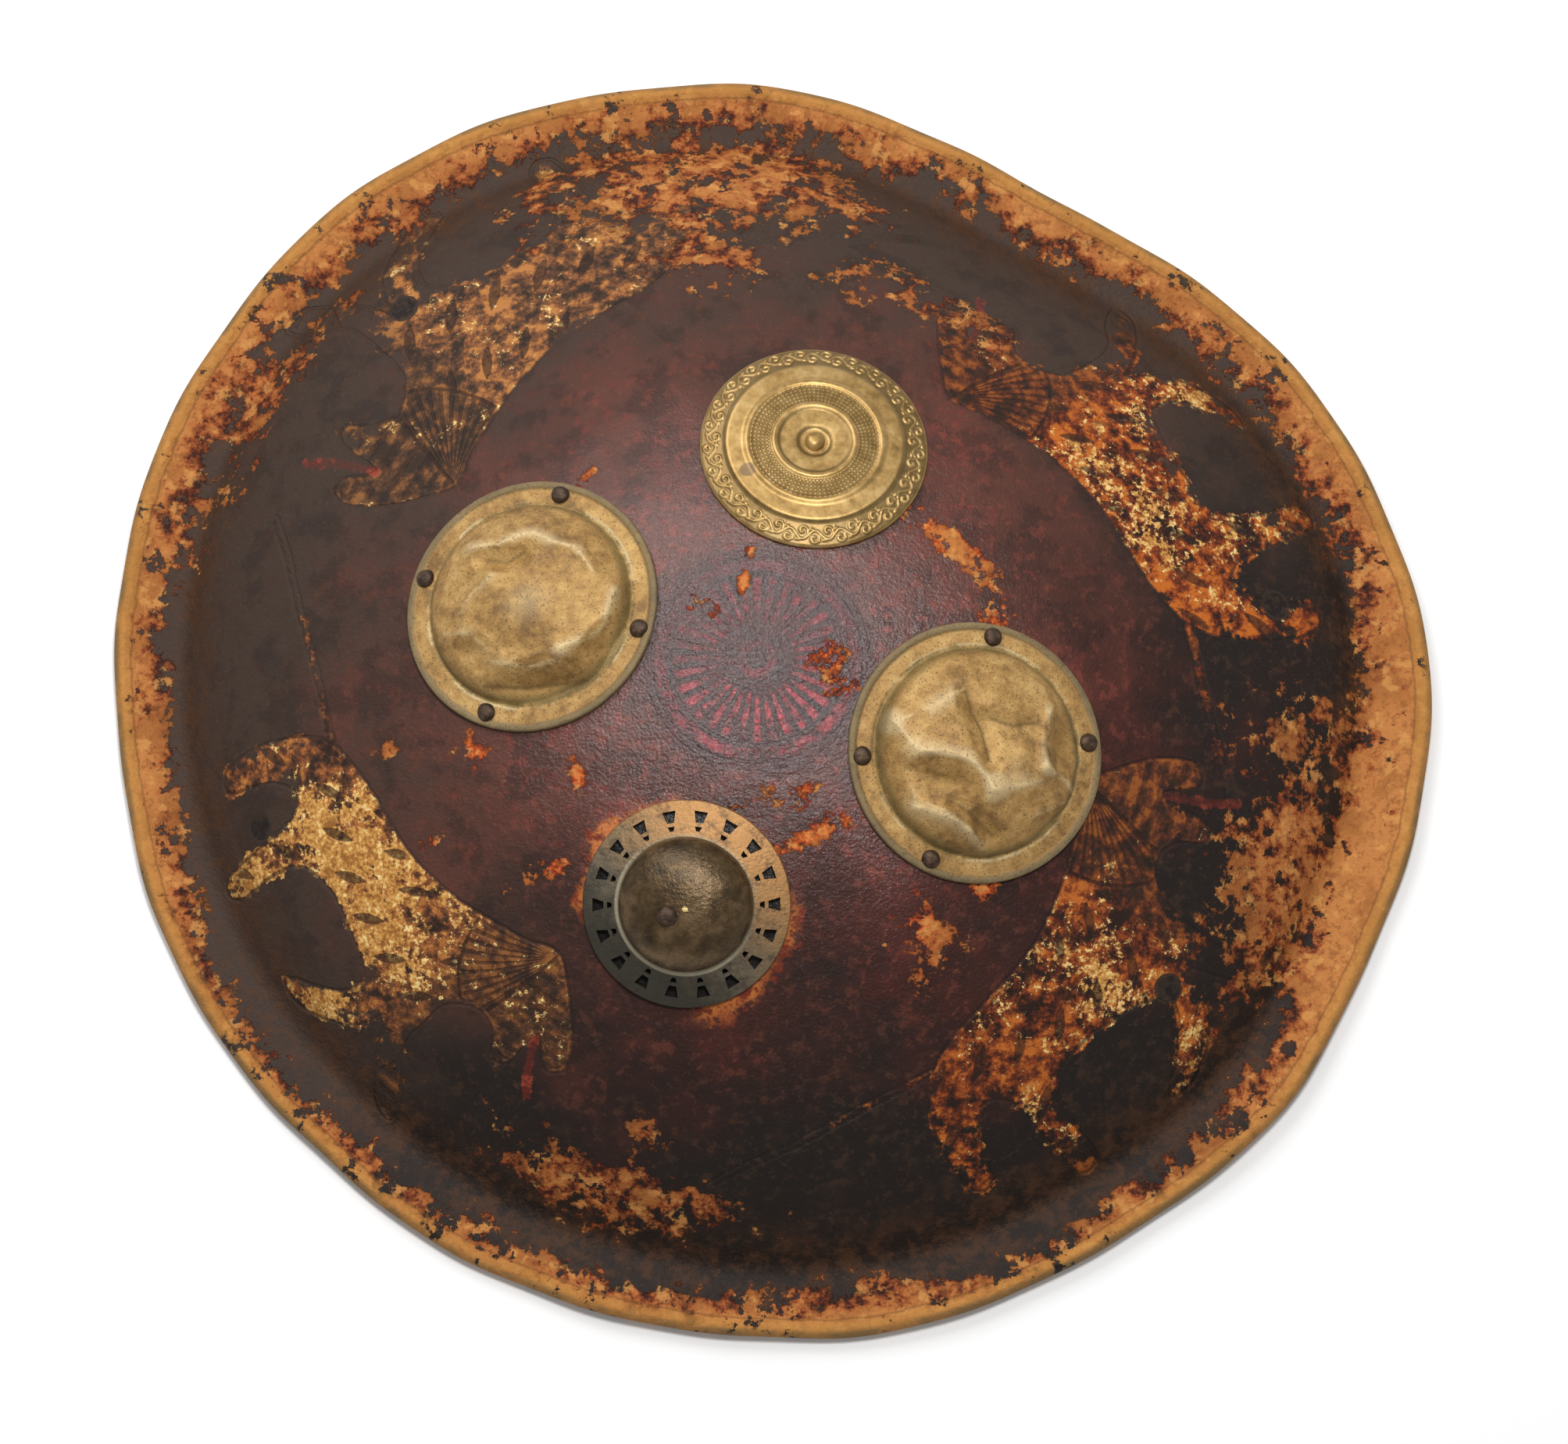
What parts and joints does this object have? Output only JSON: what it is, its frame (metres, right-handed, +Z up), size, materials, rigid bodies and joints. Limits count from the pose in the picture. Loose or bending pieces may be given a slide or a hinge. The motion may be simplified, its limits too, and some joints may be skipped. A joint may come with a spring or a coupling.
{
  "type": "dhal shield",
  "caption": "Round convex hide shield, warped by age, with a turned-out rim and metal bosses riveted to its crown; it lies dome up on its rim.",
  "frame": {"origin": "on the floor, under the middle of the shield's box; the dome's axis stands 5 mm from it to -X and 5 mm to -Y", "axes": "+Z up through the dome, with the shield lying dome up; +Y to the top of the picture and +X to its right"},
  "size_m": [0.4596, 0.4488, 0.0919],
  "materials": {
    "lacquered_hide": "dark red-brown lacquer, semi-gloss, worn to bare tan hide at the rim",
    "boss_brass": "dull, dented, olive patina",
    "stamped_brass": "satin, dark in the stamped grounds",
    "dark_bronze": "dark brown patina, polished by hands on the dome",
    "rivet_iron": "brown rust patina"
  },
  "bodies": {
    "root": {"hide_body": "lacquered_hide", "boss_left": "boss_brass", "boss_right": "boss_brass", "boss_top_disc": "stamped_brass", "disc_nail": "stamped_brass", "boss_bottom_pierced": "dark_bronze", "boss_bottom_rivet": "rivet_iron", "boss_left_rivet_1": "rivet_iron", "boss_left_rivet_2": "rivet_iron", "boss_left_rivet_3": "rivet_iron", "boss_left_rivet_4": "rivet_iron", "boss_right_rivet_1": "rivet_iron", "boss_right_rivet_2": "rivet_iron", "boss_right_rivet_3": "rivet_iron", "boss_right_rivet_4": "rivet_iron"}
  },
  "joints": []
}
